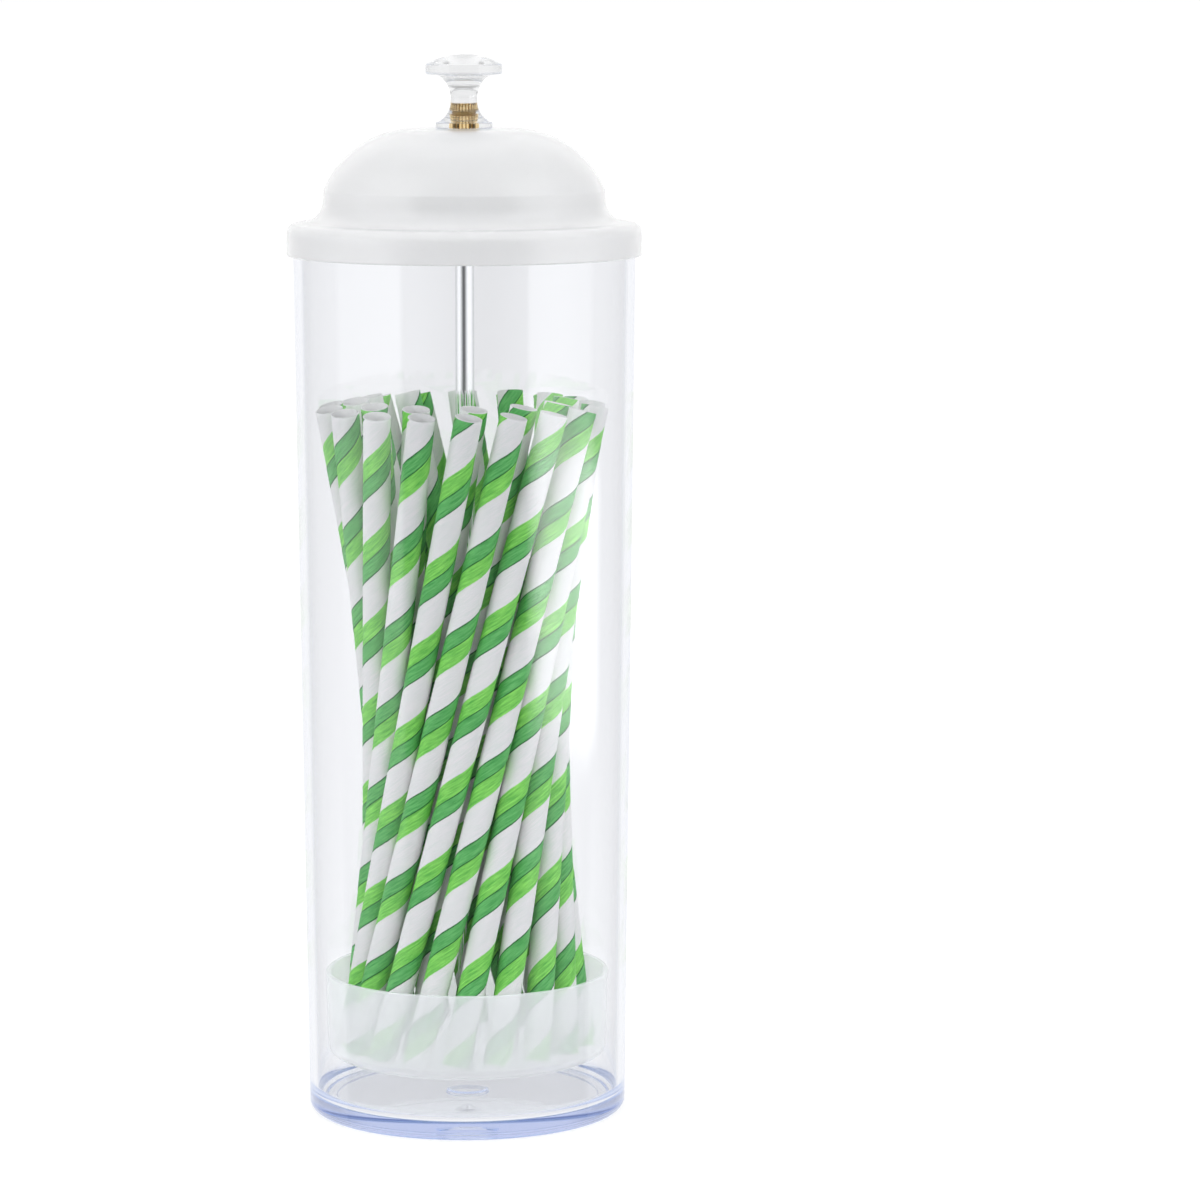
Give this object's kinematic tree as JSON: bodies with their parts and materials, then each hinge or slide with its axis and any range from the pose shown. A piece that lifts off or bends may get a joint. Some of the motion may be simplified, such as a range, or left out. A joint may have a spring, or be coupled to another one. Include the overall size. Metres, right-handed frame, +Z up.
{
  "type": "straw dispenser",
  "caption": "Tall clear canister with a frosted domed lid; a knob on a lift rod raises a tray of paper straws, which fan out.",
  "frame": {"origin": "centre of the canister's foot, on the table", "axes": "+Z up along the lift rod; -Y towards the viewer of the picture"},
  "size_m": [0.104, 0.104, 0.3128],
  "materials": {
    "clear_plastic": "clear, glossy",
    "frosted_plastic": "frosted, translucent",
    "steel": "bright drawn stainless steel",
    "brass": "turned and knurled",
    "paper": "white paper with green spiral stripes"
  },
  "bodies": {
    "canister": {"canister": "clear_plastic"},
    "lid": {"lid": "frosted_plastic"},
    "carrier": {"knob": "clear_plastic", "knob_insert": "brass", "lift_rod": "steel", "lid_washer": "steel", "tray": "frosted_plastic", "tray_upper_washer": "steel", "tray_lower_washer": "steel", "tray_nut": "steel"},
    "straw_01": {"straw_01": "paper"},
    "straw_02": {"straw_02": "paper"},
    "straw_03": {"straw_03": "paper"},
    "straw_04": {"straw_04": "paper"},
    "straw_05": {"straw_05": "paper"},
    "straw_06": {"straw_06": "paper"},
    "straw_07": {"straw_07": "paper"},
    "straw_08": {"straw_08": "paper"},
    "straw_09": {"straw_09": "paper"},
    "straw_10": {"straw_10": "paper"},
    "straw_11": {"straw_11": "paper"},
    "straw_12": {"straw_12": "paper"},
    "straw_13": {"straw_13": "paper"},
    "straw_14": {"straw_14": "paper"},
    "straw_15": {"straw_15": "paper"},
    "straw_16": {"straw_16": "paper"},
    "straw_17": {"straw_17": "paper"},
    "straw_18": {"straw_18": "paper"},
    "straw_19": {"straw_19": "paper"},
    "straw_20": {"straw_20": "paper"},
    "straw_21": {"straw_21": "paper"},
    "straw_22": {"straw_22": "paper"},
    "straw_23": {"straw_23": "paper"},
    "straw_24": {"straw_24": "paper"},
    "straw_25": {"straw_25": "paper"},
    "straw_26": {"straw_26": "paper"},
    "straw_27": {"straw_27": "paper"},
    "straw_28": {"straw_28": "paper"},
    "straw_29": {"straw_29": "paper"},
    "straw_30": {"straw_30": "paper"}
  },
  "joints": [
    {"name": "lift", "type": "slide", "parent": "canister", "child": "lid", "axis": [0, 0, 1], "range_m": [0, 0.26]},
    {"name": "turn", "type": "hinge", "parent": "lid", "child": "carrier", "pos_m": [0, 0, 0.2834], "axis": [0, 0, 1], "continuous": true},
    {"name": "fan_01", "type": "hinge", "parent": "carrier", "child": "straw_01", "pos_m": [-0.02106, -0.02479, 0.0189], "axis": [0.1045, 0.9945, 0], "range_deg": [0, 4.6]},
    {"name": "fan_02", "type": "hinge", "parent": "carrier", "child": "straw_02", "pos_m": [-0.01108, -0.03058, 0.0189], "axis": [-0.249, 0.9685, 0], "range_deg": [0, 4.6]},
    {"name": "fan_03", "type": "hinge", "parent": "carrier", "child": "straw_03", "pos_m": [-0.00028, -0.03253, 0.0189], "axis": [-0.5571, 0.8305, 0], "range_deg": [0, 4.6]},
    {"name": "fan_04", "type": "hinge", "parent": "carrier", "child": "straw_04", "pos_m": [0.01075, -0.0307, 0.0189], "axis": [-0.8052, 0.593, 0], "range_deg": [0, 4.6]},
    {"name": "fan_05", "type": "hinge", "parent": "carrier", "child": "straw_05", "pos_m": [0.02088, -0.02494, 0.0189], "axis": [-0.9626, 0.271, 0], "range_deg": [0, 4.6]},
    {"name": "fan_06", "type": "hinge", "parent": "carrier", "child": "straw_06", "pos_m": [0.02815, -0.0163, 0.0189], "axis": [-0.9972, -0.0745, 0], "range_deg": [0, 4.6]},
    {"name": "fan_07", "type": "hinge", "parent": "carrier", "child": "straw_07", "pos_m": [0.03196, -0.00605, 0.0189], "axis": [-0.9161, -0.4008, 0], "range_deg": [0, 4.6]},
    {"name": "fan_08", "type": "hinge", "parent": "carrier", "child": "straw_08", "pos_m": [0.03208, 0.00537, 0.0189], "axis": [-0.7211, -0.6928, 0], "range_deg": [0, 4.6]},
    {"name": "fan_09", "type": "hinge", "parent": "carrier", "child": "straw_09", "pos_m": [0.02815, 0.0163, 0.0189], "axis": [-0.4318, -0.902, 0], "range_deg": [0, 4.6]},
    {"name": "fan_10", "type": "hinge", "parent": "carrier", "child": "straw_10", "pos_m": [0.02107, 0.02479, 0.0189], "axis": [-0.1045, -0.9945, 0], "range_deg": [0, 4.6]},
    {"name": "fan_11", "type": "hinge", "parent": "carrier", "child": "straw_11", "pos_m": [0.01154, 0.03042, 0.0189], "axis": [0.2348, -0.972, 0], "range_deg": [0, 4.6]},
    {"name": "fan_12", "type": "hinge", "parent": "carrier", "child": "straw_12", "pos_m": [0.00012, 0.03254, 0.0189], "axis": [0.5613, -0.8276, 0], "range_deg": [0, 4.6]},
    {"name": "fan_13", "type": "hinge", "parent": "carrier", "child": "straw_13", "pos_m": [-0.01113, 0.03057, 0.0189], "axis": [0.8128, -0.5826, 0], "range_deg": [0, 4.6]},
    {"name": "fan_14", "type": "hinge", "parent": "carrier", "child": "straw_14", "pos_m": [-0.02064, 0.02515, 0.0189], "axis": [0.9599, -0.2802, 0], "range_deg": [0, 4.6]},
    {"name": "fan_15", "type": "hinge", "parent": "carrier", "child": "straw_15", "pos_m": [-0.02799, 0.01658, 0.0189], "axis": [0.9979, 0.065, 0], "range_deg": [0, 4.6]},
    {"name": "fan_16", "type": "hinge", "parent": "carrier", "child": "straw_16", "pos_m": [-0.03204, 0.00564, 0.0189], "axis": [0.9109, 0.4126, 0], "range_deg": [0, 4.6]},
    {"name": "fan_17", "type": "hinge", "parent": "carrier", "child": "straw_17", "pos_m": [-0.03206, -0.00553, 0.0189], "axis": [0.7176, 0.6965, 0], "range_deg": [0, 4.6]},
    {"name": "fan_18", "type": "hinge", "parent": "carrier", "child": "straw_18", "pos_m": [-0.02839, -0.01589, 0.0189], "axis": [0.445, 0.8956, 0], "range_deg": [0, 4.6]},
    {"name": "fan_19", "type": "hinge", "parent": "carrier", "child": "straw_19", "pos_m": [-0.01159, -0.02069, 0.0189], "axis": [-0.1736, 0.9848, 0], "range_deg": [0, 4]},
    {"name": "fan_20", "type": "hinge", "parent": "carrier", "child": "straw_20", "pos_m": [0.00043, -0.02371, 0.0189], "axis": [-0.647, 0.7625, 0], "range_deg": [0, 4]},
    {"name": "fan_21", "type": "hinge", "parent": "carrier", "child": "straw_21", "pos_m": [0.01193, -0.0205, 0.0189], "axis": [-0.9364, 0.3509, 0], "range_deg": [0, 4]},
    {"name": "fan_22", "type": "hinge", "parent": "carrier", "child": "straw_22", "pos_m": [0.02081, -0.01137, 0.0189], "axis": [-0.9829, -0.1844, 0], "range_deg": [0, 4]},
    {"name": "fan_23", "type": "hinge", "parent": "carrier", "child": "straw_23", "pos_m": [0.02371, 0.00008, 0.0189], "axis": [-0.7721, -0.6355, 0], "range_deg": [0, 4]},
    {"name": "fan_24", "type": "hinge", "parent": "carrier", "child": "straw_24", "pos_m": [0.02032, 0.01223, 0.0189], "axis": [-0.3369, -0.9415, 0], "range_deg": [0, 4]},
    {"name": "fan_25", "type": "hinge", "parent": "carrier", "child": "straw_25", "pos_m": [0.0116, 0.02069, 0.0189], "axis": [0.1736, -0.9848, 0], "range_deg": [0, 4]},
    {"name": "fan_26", "type": "hinge", "parent": "carrier", "child": "straw_26", "pos_m": [-0.00017, 0.02372, 0.0189], "axis": [0.6386, -0.7695, 0], "range_deg": [0, 4]},
    {"name": "fan_27", "type": "hinge", "parent": "carrier", "child": "straw_27", "pos_m": [-0.01231, 0.02028, 0.0189], "axis": [0.9429, -0.3331, 0], "range_deg": [0, 4]},
    {"name": "fan_28", "type": "hinge", "parent": "carrier", "child": "straw_28", "pos_m": [-0.02056, 0.01183, 0.0189], "axis": [0.9866, 0.1629, 0], "range_deg": [0, 4]},
    {"name": "fan_29", "type": "hinge", "parent": "carrier", "child": "straw_29", "pos_m": [-0.02371, -0.00052, 0.0189], "axis": [0.7599, 0.65, 0], "range_deg": [0, 4]},
    {"name": "fan_30", "type": "hinge", "parent": "carrier", "child": "straw_30", "pos_m": [-0.02045, -0.01201, 0.0189], "axis": [0.3471, 0.9378, 0], "range_deg": [0, 4]}
  ],
  "couplings": [
    {"joint": "fan_01", "follows": "lift", "rad_per_m": 0.3},
    {"joint": "fan_02", "follows": "lift", "rad_per_m": 0.3},
    {"joint": "fan_03", "follows": "lift", "rad_per_m": 0.3},
    {"joint": "fan_04", "follows": "lift", "rad_per_m": 0.3},
    {"joint": "fan_05", "follows": "lift", "rad_per_m": 0.3},
    {"joint": "fan_06", "follows": "lift", "rad_per_m": 0.3},
    {"joint": "fan_07", "follows": "lift", "rad_per_m": 0.3},
    {"joint": "fan_08", "follows": "lift", "rad_per_m": 0.3},
    {"joint": "fan_09", "follows": "lift", "rad_per_m": 0.3},
    {"joint": "fan_10", "follows": "lift", "rad_per_m": 0.3},
    {"joint": "fan_11", "follows": "lift", "rad_per_m": 0.3},
    {"joint": "fan_12", "follows": "lift", "rad_per_m": 0.3},
    {"joint": "fan_13", "follows": "lift", "rad_per_m": 0.3},
    {"joint": "fan_14", "follows": "lift", "rad_per_m": 0.3},
    {"joint": "fan_15", "follows": "lift", "rad_per_m": 0.3},
    {"joint": "fan_16", "follows": "lift", "rad_per_m": 0.3},
    {"joint": "fan_17", "follows": "lift", "rad_per_m": 0.3},
    {"joint": "fan_18", "follows": "lift", "rad_per_m": 0.3},
    {"joint": "fan_19", "follows": "lift", "rad_per_m": 0.26},
    {"joint": "fan_20", "follows": "lift", "rad_per_m": 0.26},
    {"joint": "fan_21", "follows": "lift", "rad_per_m": 0.26},
    {"joint": "fan_22", "follows": "lift", "rad_per_m": 0.26},
    {"joint": "fan_23", "follows": "lift", "rad_per_m": 0.26},
    {"joint": "fan_24", "follows": "lift", "rad_per_m": 0.26},
    {"joint": "fan_25", "follows": "lift", "rad_per_m": 0.26},
    {"joint": "fan_26", "follows": "lift", "rad_per_m": 0.26},
    {"joint": "fan_27", "follows": "lift", "rad_per_m": 0.26},
    {"joint": "fan_28", "follows": "lift", "rad_per_m": 0.26},
    {"joint": "fan_29", "follows": "lift", "rad_per_m": 0.26},
    {"joint": "fan_30", "follows": "lift", "rad_per_m": 0.26}
  ]
}
